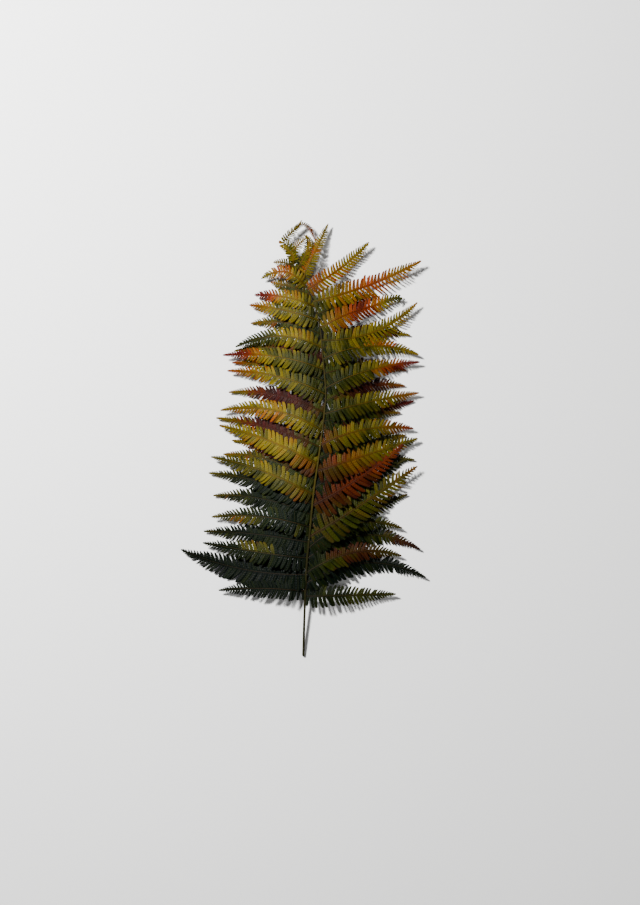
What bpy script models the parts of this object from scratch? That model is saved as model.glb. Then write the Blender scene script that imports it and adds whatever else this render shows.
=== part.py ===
"""Preserved fern frond, lying face up on a flat surface.

One frond that grew as one piece: a bare stalk with its cut end at -Y, a midrib that runs on to the
curled tip at +Y, and side leaflets that are cut like combs down to their own ribs.
The frond arches: its midrib stands clear of the surface, and the leaflets come down to it all round.
Run with: blender --background --python part.py
"""
import math
from collections import namedtuple

import bmesh
import bpy
from mathutils import Vector

MM = 0.001

# Driving dimensions, in millimetres.
FROND_LENGTH = 695.0      # cut end to tip
STALK_RADIUS = 2.0        # at the cut end
TIP_RADIUS = 0.65         # of the midrib, where the last comb takes over
TAPER = 1.2               # the midrib keeps its thickness below and loses it faster above
MIDRIB_END = 634.0        # how far up the round midrib runs
BEND_START = 560.0        # where the midrib begins to bend towards the curled tip
LONG_STEP = 15.0          # between the midrib's points below the bend
SHORT_STEP = 8.0          # and above it
ARCH_HEIGHT = 24.0        # rise of the midrib above the surface at mid-length
ARCH_SPAN = 770.0         # length of the half wave that the arch follows
LOW = 3.0                 # height of a leaflet's rib where it comes down to the surface
SHOULDER = 2.4            # how far a leaflet carries its height before it droops
UPCURL = 7.0              # most that a leaflet's end lifts beyond its low point
CURL_LENGTH = 60.0        # how far beyond its low point it has lifted by half of that
BLADE = 0.7               # thickness of the leaf blade
RIB = 1.7                 # width of the uncut strip along a leaflet's rib
LIFT = 5.0                # how far a leaflet that lies over its neighbours is raised above them
LIFT_SHARE = 0.2          # share of its length in which it rises
TILT = math.radians(6.0)     # each leaflet is tilted, so that its tipward margin lies under the next
TILT_LOST = 0.7           # share of the tilt that is gone at the leaflet's tip
CAMBER = 1.6              # how far a leaflet's two margins bend down
# Angle of a lobe to its leaflet's rib, by the share of the leaflet's length: the first lobes lean back.
LEANS = [(0.0, 108.0), (0.10, 88.0), (0.30, 74.0), (0.70, 64.0), (1.0, 50.0)]
BARE = 2.5                # length of a leaflet's own little stalk
TAIL = 11.0               # undivided end of a leaflet
LOBE_STEP = 9.3           # distance from lobe to lobe: this much,
LOBE_STEP_GAIN = 0.42     # and this share of the longest lobe more
FIRST_LOBE = 0.78         # length of a leaflet's first lobes, as a share of its longest
LOBE_GROWTH = 2.2         # how fast that share grows along the leaflet
LOBE_LOSS = 0.95          # share of the length that the last lobes have lost
LOBE_TAPERS = (2.6, 3.8)  # and how late along the leaflet they lose it, low and high on the frond,
YOUNG = (480.0, 570.0)    # changing between these heights
WELD = 0.01               # points this near to each other are one point
RIB_STEPS = 40            # short straight steps that a rib's length is measured in

# The midrib's sideways sway, as (distance from the cut end, offset to the right).
SWAY = [(0, -14), (93, -11), (151, -8), (202, -3), (263, 3), (333, 13), (391, 20), (421, 22),
        (490, 16), (523, 13), (550, 7), (575, -3), (597, -15), (620, -28), (640, -34), (662, -31),
        (680, -22), (695, -16)]

# How far from the midrib the leaflets come down to the surface, on the left and on the right,
# as (distance from the cut end, half span).
TOUCHDOWN = {
    -1: [(0, 120), (100, 128), (300, 130), (420, 124), (520, 100), (600, 66), (650, 36), (695, 24)],
    1: [(0, 120), (100, 128), (300, 132), (480, 126), (600, 116), (640, 88), (670, 50), (695, 30)],
}

# Leaflets, from the stalk upwards: where each leaves the midrib, where its tip is, how far its rib
# bows towards the frond's tip, the length of its longest lobes, and whether it lies under its
# neighbours (0), over them (1) or over those as well (more than 1).
Leaflet = namedtuple("Leaflet", "along tip bow lobe over")
LEFT = [Leaflet(*row) for row in [
    (104, (-149, 105), 4, 16, 1), (131, (-209, 170), -12, 25, 0), (157, (-174, 181), -2, 20, 1),
    (182, (-173, 199), 4, 19, 0), (206, (-160, 222), 9, 19, 1), (226, (-158, 256), 10, 19, 0),
    (242, (-165, 292), 10, 19, 0), (258, (-161, 318), 7, 20, 1), (280, (-142, 322), 12, 17, 0),
    (296, (-128, 344), 10, 17, 0), (307, (-148, 368), 6, 21, 1), (333, (-153, 380), 8, 17, 0),
    (359, (-146, 392), 17, 19, 1), (388, (-133, 421), 12, 17, 0), (417, (-135, 455), 10, 18, 1),
    (437, (-128, 468), 10, 16, 0), (456, (-142, 480), 10, 17, 1), (473, (-124, 487), 12, 15, 0),
    (491, (-122, 493), 18, 17, 1), (512, (-98, 531), 10, 15, 0), (534, (-100, 560), 4, 16, 1),
    (556, (-92, 576), 6, 14, 1), (572, (-66, 596), 4, 12, 0), (588, (-81, 602), 17, 12, 1),
    (606, (-62, 628), 8, 9, 0), (622, (-50, 652), 8, 8, 1),
]]
RIGHT = [Leaflet(*row) for row in [
    (96, (134, 99), 0, 17, 1), (116, (182, 125), 28, 20, 0), (133, (143, 160), 19, 19, 1),
    (156, (173, 170), 30, 20, 0), (172, (144, 204), 24, 19, 1), (181, (153, 258), 4, 19, 0),
    (191, (168, 303), -2, 27, 1.5), (217, (153, 316), 2, 20, 0),
    (241, (146, 338), -5, 25, 1.2), (268, (164, 313), 18, 19, 0),
    (296, (169, 347), 0, 23, 1), (316, (150, 352), 6, 18, 0), (337, (162, 363), 12, 20, 1),
    (362, (142, 388), 9, 18, 0), (374, (163, 407), 0, 16, 0), (386, (171, 420), 3, 18, 1),
    (406, (149, 431), 12, 17, 0), (427, (172, 469), 9, 18, 1), (450, (151, 456), 8, 16, 0),
    (473, (170, 481), 17, 18, 1), (489, (157, 512), 14, 16, 0), (503, (168, 564), -18, 18, 1),
    (523, (140, 571), 5, 17, 1), (544, (100, 578), 2, 15, 0), (564, (174, 630), -6, 17, 1),
    (584, (91, 660), -5, 14, 1), (599, (26, 690), 0, 10, 1), (613, (-9, 672), -8, 8, 0),
]]
# The curled top: ribs given by the points that they pass through. The first is the end of the midrib,
# the next is its thin hook, and the last two stand beside it.
Curl = namedtuple("Curl", "path lobe over")
CURLED = [
    Curl([(-29, 622), (-33, 638), (-37, 650), (-45, 659), (-40, 668), (-31, 677), (-21, 687), (-16, 695)],
         8, 0.4),
    Curl([(-29, 679), (-16, 688), (-5, 684), (2, 671), (9, 656)], 4, 0.4),
    Curl([(-25, 614), (-13, 634), (-5, 651), (-4, 664), (-13, 671)], 7, 0.8),
    Curl([(-34, 641), (-23, 653), (-10, 666)], 8, 1.2),
]

# The origin lies on the surface, under the middle of the frond's outline.
CENTRE_X = (min(leaflet.tip[0] for leaflet in LEFT) + max(leaflet.tip[0] for leaflet in RIGHT)) / 2
CENTRE_Y = FROND_LENGTH / 2

LEAF_COLOUR = (0.09, 0.085, 0.01, 1.0)
LEAF_ROUGHNESS = 0.55


def smooth(points, at):
    """A smooth curve through (position, value) pairs, read at one position."""
    at = min(max(at, points[0][0]), points[-1][0])
    k = next(i for i in range(1, len(points)) if at <= points[i][0])
    before, start = points[max(k - 2, 0)], points[k - 1]
    end, after = points[k], points[min(k + 1, len(points) - 1)]
    span = end[0] - start[0]
    slope_in = (end[1] - before[1]) / (end[0] - before[0]) * span
    slope_out = (after[1] - start[1]) / (after[0] - start[0]) * span
    t = (at - start[0]) / span
    rise = t * t * (3 - 2 * t)
    return (start[1] + (end[1] - start[1]) * rise
            + slope_in * t * (1 - t) ** 2 - slope_out * t * t * (1 - t))


def midrib_height(along):
    """Height of the midrib's centre above the surface."""
    return STALK_RADIUS + ARCH_HEIGHT * math.sin(math.pi * along / ARCH_SPAN)


def midrib_radius(along):
    return STALK_RADIUS + (TIP_RADIUS - STALK_RADIUS) * min(along / MIDRIB_END, 1.0) ** TAPER


def dome(across, along):
    """Height of the arched face of the whole frond, which every leaflet follows."""
    offset = across - smooth(SWAY, along)
    span = smooth(TOUCHDOWN[1 if offset > 0 else -1], along)
    reach = abs(offset) / span
    if reach > 1.0:
        beyond = (abs(offset) - span) / CURL_LENGTH
        return LOW + UPCURL * beyond ** 2 / (1.0 + beyond ** 2)
    crest = midrib_height(along) - LOW
    return LOW + crest * (1.0 - reach) ** 2 * (1.0 + SHOULDER * reach)


def bowed_plan(leaflet, side):
    """Plan of a leaflet's rib: one bow between the midrib and the tip."""
    start = Vector((smooth(SWAY, leaflet.along), leaflet.along))
    end = Vector(leaflet.tip)
    chord = end - start
    tipward = Vector((-chord.y, chord.x)).normalized() * side
    bend = (start + end) / 2 + tipward * 2 * leaflet.bow
    return lambda share: start * (1 - share) ** 2 + bend * 2 * share * (1 - share) + end * share ** 2


def curled_plan(curl):
    """Plan of a curled rib: a smooth line through all its points."""
    run = [0.0]
    for before, spot in zip(curl.path, curl.path[1:]):
        run.append(run[-1] + math.dist(before, spot))
    across = [(at / run[-1], spot[0]) for at, spot in zip(run, curl.path)]
    along = [(at / run[-1], spot[1]) for at, spot in zip(run, curl.path)]
    return lambda share: Vector((smooth(across, share), smooth(along, share)))


def rib_line(leaflet, side):
    """The rib of a leaflet as a function of the share of its length, in millimetres."""
    plan = curled_plan(leaflet) if isinstance(leaflet, Curl) else bowed_plan(leaflet, side)

    def point(share):
        flat = plan(share)
        rise = min(share / LIFT_SHARE, 1.0)
        lift = LIFT * leaflet.over * rise * rise * (3 - 2 * rise)
        return Vector((flat.x, flat.y, dome(flat.x, flat.y) + lift))

    return point


def lobe_length(leaflet, share):
    """How long the lobes are along a leaflet, as a share of its longest."""
    height = leaflet.path[0][1] if isinstance(leaflet, Curl) else leaflet.along
    young = min(max((height - YOUNG[0]) / (YOUNG[1] - YOUNG[0]), 0.0), 1.0)
    taper = LOBE_TAPERS[0] + (LOBE_TAPERS[1] - LOBE_TAPERS[0]) * young
    return min(1.0, FIRST_LOBE + LOBE_GROWTH * share) * (1.0 - LOBE_LOSS * share ** taper)


def comb(name, leaflet, side, collection):
    """One leaflet: a thin arched blade whose outline is cut to the rib."""
    point = rib_line(leaflet, side)
    run = [point(i / RIB_STEPS) for i in range(RIB_STEPS + 1)]
    length = sum((run[i + 1] - run[i]).length for i in range(RIB_STEPS))
    count = max(round((length - BARE - TAIL) / (LOBE_STEP + LOBE_STEP_GAIN * leaflet.lobe)), 2)
    first = BARE / length
    last = 1.0 - TAIL / length

    def place(share, ahead, tipward):
        """A point of the blade, measured from the rib at a share of its length."""
        back, on = max(share - 1 / RIB_STEPS, 0.0), min(share + 1 / RIB_STEPS, 1.0)
        along = (point(on) - point(back)).normalized()
        level = Vector((-along.y, along.x, 0.0)).normalized() * side
        up = along.cross(level) * side
        tilt = TILT * (1.0 - TILT_LOST * share)
        sideways = level * math.cos(tilt) - up * math.sin(tilt)
        sag = CAMBER * (tipward / leaflet.lobe) ** 2
        return point(share) + along * ahead + sideways * tipward - Vector((0.0, 0.0, sag))

    mesh = bmesh.new()

    def vertex(*where):
        spot = place(*where)
        return mesh.verts.new(((spot.x - CENTRE_X) * MM, (spot.y - CENTRE_Y) * MM, spot.z * MM))

    def face(a, b, c, turned):
        mesh.faces.new((a, c, b) if turned else (a, b, c))

    notches = [first + (last - first) * k / count for k in range(count + 1)]
    edges = {}
    for sign in (1, -1):
        edges[sign] = [vertex(share, 0.0, sign * RIB / 2) for share in [0.0] + notches]
    tip = vertex(1.0, 0.0, 0.0)
    for k in range(count + 1):
        face(edges[-1][k], edges[-1][k + 1], edges[1][k + 1], side < 0)
        face(edges[-1][k], edges[1][k + 1], edges[1][k], side < 0)
    face(edges[-1][-1], tip, edges[1][-1], side < 0)
    for sign in (1, -1):
        for k in range(count):
            middle = (notches[k] + notches[k + 1]) / 2
            reach = leaflet.lobe * lobe_length(leaflet, middle)
            lean = math.radians(smooth(LEANS, middle))
            end = vertex(middle, reach * math.cos(lean), sign * reach * math.sin(lean))
            face(edges[sign][k + 1], edges[sign][k + 2], end, side * sign < 0)
    data = bpy.data.meshes.new(name)
    mesh.to_mesh(data)
    mesh.free()
    blade = bpy.data.objects.new(name, data)
    collection.objects.link(blade)
    shell = blade.modifiers.new("Thickness", "SOLIDIFY")
    shell.thickness = BLADE * MM
    shell.offset = 0.0
    return blade


def midrib(collection):
    """Stalk and midrib: a round tapering rod, made as a curve and then turned into a mesh."""
    curve = bpy.data.curves.new("midrib", "CURVE")
    curve.dimensions = "3D"
    curve.bevel_depth = MM
    curve.bevel_resolution = 2
    curve.use_fill_caps = True
    spline = curve.splines.new("POLY")
    below = int(BEND_START / LONG_STEP)
    above = int((MIDRIB_END - LONG_STEP * below) / SHORT_STEP)
    stations = [LONG_STEP * i for i in range(below)]
    stations += [MIDRIB_END - SHORT_STEP * i for i in range(above, -1, -1)]
    spline.points.add(len(stations) - 1)
    for knot, along in zip(spline.points, stations):
        across = smooth(SWAY, along)
        knot.co = ((across - CENTRE_X) * MM, (along - CENTRE_Y) * MM, midrib_height(along) * MM, 1.0)
        knot.radius = midrib_radius(along)
    rod = bpy.data.objects.new("midrib", curve)
    collection.objects.link(rod)
    bpy.context.view_layer.update()
    data = bpy.data.meshes.new_from_object(rod.evaluated_get(bpy.context.evaluated_depsgraph_get()))
    mesh = bmesh.new()
    mesh.from_mesh(data)
    bmesh.ops.remove_doubles(mesh, verts=mesh.verts, dist=WELD * MM)
    mesh.to_mesh(data)
    mesh.free()
    solid = bpy.data.objects.new("fern_frond", data)
    solid.matrix_world = rod.matrix_world
    collection.objects.link(solid)
    bpy.data.objects.remove(rod)
    return solid


def join(solid, combs):
    """Fuse every leaflet to the midrib in one Boolean union, and let the loose ones go."""
    union = solid.modifiers.new("Leaflets", "BOOLEAN")
    union.operation = "UNION"
    union.solver = "EXACT"
    union.operand_type = "COLLECTION"
    union.collection = combs
    bpy.context.view_layer.update()
    fused = bpy.data.meshes.new_from_object(
        solid.evaluated_get(bpy.context.evaluated_depsgraph_get()))
    solid.modifiers.clear()
    solid.data = fused
    for blade in list(combs.objects):
        bpy.data.objects.remove(blade)
    bpy.data.collections.remove(combs)
    drop_slivers(fused)


def drop_slivers(data):
    """Cut the faces into triangles, and drop each two that lie on the same three points."""
    mesh = bmesh.new()
    mesh.from_mesh(data)
    bmesh.ops.triangulate(mesh, faces=mesh.faces)
    sharing = {}
    for triangle in mesh.faces:
        sharing.setdefault(frozenset(triangle.verts), []).append(triangle)
    doubled = [triangle for same in sharing.values() if len(same) > 1 for triangle in same]
    bmesh.ops.delete(mesh, geom=doubled, context="FACES")
    mesh.to_mesh(data)
    mesh.free()


def leaf_material():
    material = bpy.data.materials.new("leaf")
    material.use_nodes = True
    shader = material.node_tree.nodes["Principled BSDF"]
    shader.inputs["Base Color"].default_value = LEAF_COLOUR
    shader.inputs["Roughness"].default_value = LEAF_ROUGHNESS
    shader.inputs["Metallic"].default_value = 0.0
    return material


for item in list(bpy.data.objects):
    bpy.data.objects.remove(item)

frond = bpy.data.collections.new("preserved_fern_frond")
bpy.context.scene.collection.children.link(frond)
leaflets = bpy.data.collections.new("leaflets")
bpy.context.scene.collection.children.link(leaflets)

for number, row in enumerate(LEFT, 1):
    comb(f"left_{number:02d}", row, -1, leaflets)
for number, row in enumerate(RIGHT, 1):
    comb(f"right_{number:02d}", row, 1, leaflets)
for number, row in enumerate(CURLED, 1):
    comb(f"curled_{number:02d}", row, 1, leaflets)
body = midrib(frond)
join(body, leaflets)
body.data.materials.clear()
body.data.materials.append(leaf_material())
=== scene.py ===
# %% [markdown]
# A preserved fern frond
#
# The object is one leaf of a fern that has been preserved in glycerine and dye: a bare stalk, a midrib,
# 54 side leaflets that are cut like combs into lobes, and a curled top. This script dresses the packed
# solid of that frond. It loads the solid first, because every piece here has to lie where the solid lies.

# %% Load the solid frond
import math
from collections import namedtuple

import bmesh
import bpy
import numpy as np
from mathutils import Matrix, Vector


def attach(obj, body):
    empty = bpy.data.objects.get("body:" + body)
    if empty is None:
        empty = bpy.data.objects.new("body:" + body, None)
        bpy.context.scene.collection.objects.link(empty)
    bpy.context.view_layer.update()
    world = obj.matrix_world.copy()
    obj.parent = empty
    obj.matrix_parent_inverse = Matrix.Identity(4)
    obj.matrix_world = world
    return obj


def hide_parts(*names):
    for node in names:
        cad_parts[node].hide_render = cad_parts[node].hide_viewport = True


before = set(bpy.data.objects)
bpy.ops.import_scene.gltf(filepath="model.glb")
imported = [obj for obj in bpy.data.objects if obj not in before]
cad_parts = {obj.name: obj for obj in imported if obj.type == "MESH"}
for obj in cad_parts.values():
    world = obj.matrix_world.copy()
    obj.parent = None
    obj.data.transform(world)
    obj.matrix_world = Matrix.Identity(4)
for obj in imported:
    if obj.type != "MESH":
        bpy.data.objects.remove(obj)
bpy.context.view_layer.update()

MM = 0.001


def deselect_all():
    """An operator acts on all that is selected, so each piece starts with nothing selected."""
    for item in bpy.context.selected_objects:
        item.select_set(False)


# %% [markdown]
# How the frond grew
#
# Distances on the frond are in millimetres: `along` is measured up the frond from the cut end of the stalk,
# and `across` to its right. The midrib sways a little from side to side, and the whole frond is arched like
# a shallow vault: the midrib is the ridge, and the leaflets come down to the table on both sides. How far
# out they touch down depends on the height on the frond, and beyond that line their tips rise a little
# again. The same few numbers drew the solid, so they are repeated here and every new piece lies on the
# same vault.

# %% The midrib's sway and the arch
FROND_LENGTH = 695.0
STALK_RADIUS = 2.0
TIP_RADIUS = 0.65
TAPER = 1.2
MIDRIB_END = 634.0
ARCH_HEIGHT = 24.0
ARCH_SPAN = 770.0
LOW = 3.0             # height of the blades where they touch down
SHOULDER = 2.4        # how round the vault is between the midrib and there
UPCURL = 7.0          # how far the tips can rise again,
CURL_LENGTH = 60.0    # half of it at this distance beyond
SWAY = [(0, -14), (93, -11), (151, -8), (202, -3), (263, 3), (333, 13), (391, 20), (421, 22),
        (490, 16), (523, 13), (550, 7), (575, -3), (597, -15), (620, -28), (640, -34), (662, -31),
        (680, -22), (695, -16)]
TOUCHDOWN = {
    -1: [(0, 120), (100, 128), (300, 130), (420, 124), (520, 100), (600, 66), (650, 36), (695, 24)],
    1: [(0, 120), (100, 128), (300, 132), (480, 126), (600, 116), (640, 88), (670, 50), (695, 30)],
}


def smooth(points, at):
    """A smooth curve through (position, value) pairs, read at one position."""
    at = min(max(at, points[0][0]), points[-1][0])
    k = next(i for i in range(1, len(points)) if at <= points[i][0])
    before, start = points[max(k - 2, 0)], points[k - 1]
    end, after = points[k], points[min(k + 1, len(points) - 1)]
    span = end[0] - start[0]
    slope_in = (end[1] - before[1]) / (end[0] - before[0]) * span
    slope_out = (after[1] - start[1]) / (after[0] - start[0]) * span
    t = (at - start[0]) / span
    rise = t * t * (3 - 2 * t)
    return (start[1] + (end[1] - start[1]) * rise
            + slope_in * t * (1 - t) ** 2 - slope_out * t * t * (1 - t))


def midrib_height(along):
    return STALK_RADIUS + ARCH_HEIGHT * math.sin(math.pi * along / ARCH_SPAN)


def midrib_radius(along):
    return STALK_RADIUS + (TIP_RADIUS - STALK_RADIUS) * min(along / MIDRIB_END, 1.0) ** TAPER


def dome(across, along):
    """Height of the arched face of the whole frond, which every leaflet follows."""
    offset = across - smooth(SWAY, along)
    span = smooth(TOUCHDOWN[1 if offset > 0 else -1], along)
    reach = abs(offset) / span
    if reach > 1.0:
        beyond = (abs(offset) - span) / CURL_LENGTH
        return LOW + UPCURL * beyond ** 2 / (1.0 + beyond ** 2)
    crest = midrib_height(along) - LOW
    return LOW + crest * (1.0 - reach) ** 2 * (1.0 + SHOULDER * reach)


print("top of the arch, mm:", round(max(midrib_height(y) for y in range(0, 696, 5)), 1))

# %% [markdown]
# The leaflets
#
# Every leaflet is a row: where it leaves the midrib, where its tip is, how far its rib bows towards the top
# of the frond, how long its longest lobes are, and whether it lies under its neighbours (0), over them (1)
# or over those as well (more than 1). The last three numbers tell how far the leaflet has turned in
# autumn, near the midrib, half way out and at its tip: 0 is bottle green, 0.4 olive, 0.5 yellow, 0.6 ochre,
# 0.7 rust, 0.85 brick red and 1 crimson. One leaflet can pass through several of these, as it does on the
# real leaf.

# %% Rows of leaflets
Leaflet = namedtuple("Leaflet", "along tip bow lobe over turn")


def rows(table):
    return [Leaflet(along, tip, bow, lobe, over, turn) for along, tip, bow, lobe, over, *turn in table]


LEFT = rows([
    (104, (-149, 105), 4, 16, 1, .08, .08, .12), (131, (-209, 170), -12, 25, 0, .03, .08, .04),
    (157, (-174, 181), -2, 20, 1, .08, .28, .12), (182, (-173, 199), 4, 19, 0, .08, .12, .34),
    (206, (-160, 222), 9, 19, 1, .12, .16, .40), (226, (-158, 256), 10, 19, 0, .16, .26, .42),
    (242, (-165, 292), 10, 19, 0, .16, .20, .40), (258, (-161, 318), 7, 20, 1, .47, .42, .36),
    (280, (-142, 322), 12, 17, 0, .36, .46, .48), (296, (-128, 344), 10, 17, 0, .60, .98, .44),
    (307, (-148, 368), 6, 21, 1, .46, .47, .47), (333, (-153, 380), 8, 17, 0, .50, .96, .44),
    (359, (-146, 392), 17, 19, 1, .42, .46, .48), (388, (-133, 421), 12, 17, 0, .56, .98, .46),
    (417, (-135, 455), 10, 18, 1, .34, .42, .62), (437, (-128, 468), 10, 16, 0, .36, .42, .60),
    (456, (-142, 480), 10, 17, 1, .36, .39, .96), (473, (-124, 487), 12, 15, 0, .80, .62, .38),
    (491, (-122, 493), 18, 17, 1, .40, .40, .15), (512, (-98, 531), 10, 15, 0, .42, .44, .50),
    (534, (-100, 560), 4, 16, 1, .42, .42, .58), (556, (-92, 576), 6, 14, 1, .44, .46, .95),
    (572, (-66, 596), 4, 12, 0, .44, .50, .50), (588, (-81, 602), 17, 12, 1, .44, .64, .42),
    (606, (-62, 628), 8, 9, 0, .44, .48, .48), (622, (-50, 652), 8, 8, 1, .42, .48, .44),
])
RIGHT = rows([
    (96, (134, 99), 0, 17, 1, .20, .42, .44), (116, (182, 125), 28, 20, 0, .08, .12, .10),
    (133, (143, 160), 19, 19, 1, .20, .72, .54), (156, (173, 170), 30, 20, 0, .14, .25, .76),
    (172, (144, 204), 24, 19, 1, .22, .38, .50), (181, (153, 258), 4, 19, 0, .26, .40, .48),
    (191, (168, 303), -2, 27, 1.5, .60, .51, .52), (217, (153, 316), 2, 20, 0, .22, .26, .34),
    (241, (146, 338), -5, 25, 1.2, .70, .76, .72), (268, (164, 313), 18, 19, 0, .24, .32, .36),
    (296, (169, 347), 0, 23, 1, .72, .52, .42),
    (316, (150, 352), 6, 18, 0, .30, .34, .44), (337, (162, 363), 12, 20, 1, .64, .42, .70),
    (362, (142, 388), 9, 18, 0, .46, .86, .50), (374, (163, 407), 0, 16, 0, .36, .42, .98),
    (386, (171, 420), 3, 18, 1, .38, .40, .60), (406, (149, 431), 12, 17, 0, .44, .90, .60),
    (427, (172, 469), 9, 18, 1, .34, .40, .95), (450, (151, 456), 8, 16, 0, .44, .64, .60),
    (473, (170, 481), 17, 18, 1, .36, .40, .44), (489, (157, 512), 14, 16, 0, .42, .96, .46),
    (503, (168, 564), -18, 18, 1, .38, .46, .48), (544, (100, 578), 2, 15, 0, .42, .50, .52),
    (564, (174, 630), -6, 17, 1, .42, .67, .54), (584, (91, 660), -5, 14, 1, .64, .56, .44),
    (599, (26, 690), 0, 10, 1, .40, .54, .44), (613, (-9, 672), -8, 8, 0, .42, .46, .44),
])

# Lobes whose colour differs from their leaflet's: the frond's side, where the leaflet leaves the midrib,
# which row (1 is the one towards the frond's top), from and to which share of the length, and the step.
ACCENTS = [
    (-1, 157, 1, 0.28, 0.66, 0.20), (-1, 206, -1, 0.45, 0.78, 0.24), (-1, 206, -1, 0.0, 0.14, 0.24),
    (-1, 258, -1, 0.0, 0.20, 0.10), (-1, 307, -1, 0.0, 0.22, 0.14), (-1, 359, -1, 0.35, 0.95, 0.12),
    (-1, 456, 1, 0.70, 1.0, 0.15), (-1, 491, 1, 0.10, 0.45, 0.10), (1, 133, 1, 0.20, 0.38, 0.16),
    (1, 191, -1, 0.10, 0.70, -0.04), (1, 427, -1, 0.50, 0.80, 0.18), (1, 473, 1, 0.40, 0.75, 0.22),
    (1, 599, 1, 0.10, 0.50, 0.14),
]
# Lobes that are longer than their leaflet's others, in the same order, and by which share.
STRETCHED = [(1, 564, -1, 0.38, 0.80, 0.28), (1, 503, -1, 0.30, 0.85, 0.24)]

# %% [markdown]
# The curled top
#
# At the top the frond is still half rolled up, as young ferns are. The midrib's end turns over to the left
# and ends in a thin hook, and two small leaflets bend over it. One rust red leaflet on the right has a
# hooked end too. A single bow can't draw these, so each is a row of points that its rib passes through.

# %% Curled leaflets
Curl = namedtuple("Curl", "path lobe over turn")
CROWN = [
    Curl([(-29, 622), (-33, 638), (-37, 650), (-45, 659), (-40, 668), (-31, 677), (-21, 687), (-16, 695)],
         8, 0.4, [.42, .46, .42]),
    Curl([(-29, 679), (-16, 688), (-5, 684), (2, 671), (9, 656)], 4, 0.4, [.44, .66, .78]),
    Curl([(-25, 614), (-13, 634), (-5, 651), (-4, 664), (-13, 671)], 7, 0.8, [.40, .48, .50]),
    Curl([(-34, 641), (-23, 653), (-10, 666)], 8, 1.2, [.42, .52, .46]),
]
HOOKED = Curl([(13, 523), (60, 546), (105, 561), (132, 571), (140, 571), (137, 563)], 17, 1, [.45, .82, .24])
CENTRE = np.array([(min(row.tip[0] for row in LEFT) + max(row.tip[0] for row in RIGHT)) / 2,
                   FROND_LENGTH / 2, 0.0])
print("leaflets:", len(LEFT), "left,", len(RIGHT), "right,", len(CROWN) + 1, "curled")

# %% [markdown]
# The line of a rib
#
# A leaflet's rib is a gentle curve over the vault. For placing things on it we need, at any share of its
# length, a point and three directions: along the rib, sideways in the leaf blade, and up. The leaflets of
# the real frond lie in two layers. Nearly every other one rises a few millimetres and lies over its
# neighbours, and each blade is tilted a little, its margin towards the top of the frond lower. A table of
# stations holds all this once per leaflet, and numpy reads between them.

# %% Stations along a rib
LIFT = 5.0                  # how far an upper leaflet rises,
LIFT_SHARE = 0.2            # over this share of its length
TILT = math.radians(6.0)    # at the midrib,
TILT_LOST = 0.7             # and this share of it is gone at the tip
STATIONS = 81
Rib = namedtuple("Rib", "share spot along sideways length")


def bowed_line(leaflet, side, share):
    """Plan of a leaflet's rib: one bow between the midrib and the tip."""
    start = np.array([smooth(SWAY, leaflet.along), leaflet.along])
    end = np.array(leaflet.tip, float)
    chord = end - start
    tipward = np.array([-chord[1], chord[0]]) / np.hypot(*chord) * side
    bend = (start + end) / 2 + tipward * 2 * leaflet.bow
    return start * (1 - share) ** 2 + bend * 2 * share * (1 - share) + end * share ** 2


def curled_line(curl, share):
    """Plan of a curled rib: a smooth line through all its points."""
    path = np.array(curl.path, float)
    run = np.append(0.0, np.cumsum(np.linalg.norm(np.diff(path, axis=0), axis=1)))
    return np.column_stack([[smooth(list(zip(run / run[-1], column)), at) for at in share[:, 0]]
                            for column in path.T])


def rib_table(leaflet, side):
    share = np.linspace(0.0, 1.0, STATIONS)[:, None]
    flat = curled_line(leaflet, share) if isinstance(leaflet, Curl) else bowed_line(leaflet, side, share)
    rise = np.minimum(share[:, 0] / LIFT_SHARE, 1.0)
    lift = LIFT * leaflet.over * rise * rise * (3 - 2 * rise)
    spot = np.column_stack([flat, [dome(x, y) for x, y in flat] + lift])
    along = np.gradient(spot, axis=0)
    along /= np.linalg.norm(along, axis=1)[:, None]
    level = np.column_stack([-along[:, 1], along[:, 0], np.zeros(STATIONS)]) * side
    level /= np.linalg.norm(level, axis=1)[:, None]
    up = np.cross(along, level) * side
    tilt = TILT * (1.0 - TILT_LOST * share)
    sideways = level * np.cos(tilt) - up * np.sin(tilt)
    length = np.linalg.norm(np.diff(spot, axis=0), axis=1).sum()
    return Rib(share[:, 0], spot, along, sideways, length)


def read(rib, values, share):
    """A station value, such as a point or a direction, at any shares of the rib's length."""
    return np.column_stack([np.interp(share, rib.share, column) for column in values.T])


LONG_LEAFLET = RIGHT[6]
long_rib = rib_table(LONG_LEAFLET, 1)
print("the long right leaflet's rib, mm:", round(long_rib.length, 1))

# %% [markdown]
# One lobe
#
# The lobes are the teeth of the comb: narrow blades with nearly parallel sides, a rounded point, margins
# that roll down and a midvein that is sunk in the upper face. They could be drawn one by one, but there are
# about three thousand, so a single lobe of a few dozen faces is modelled and copied. It starts as a
# grid of unit size. Each row of points is moved to its place and narrowed with the transform operators, the
# outer columns go down and the middle one goes down a little, and Solidify gives the leaf its thickness.
# The face that it adds below gets the second material, the underside.

# %% Model the lobe
LOBE_LENGTH = 22.0
LOBE_WIDTH = 8.0
LEAF_THICKNESS = 0.34
MARGIN_ROLL = 0.55
VEIN_SINK = 0.4
ROW_PLACES = [0.0, 0.12, 0.45, 0.76, 0.93, 1.0]
ROW_WIDTHS = [1.0, 0.97, 0.95, 0.90, 0.74, 0.40]
LOBE_ROWS = len(ROW_PLACES) - 1
LOBE_COLUMNS = 4
GRID_EDGE = 0.5       # a grid of unit size reaches this far on each side
NEAR = 1e-4


def select_points(mesh, wanted):
    """Select the points of a mesh in edit mode whose place is wanted."""
    for vert in mesh.verts:
        vert.select = bool(wanted(vert.co))
    mesh.select_flush_mode()


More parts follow.
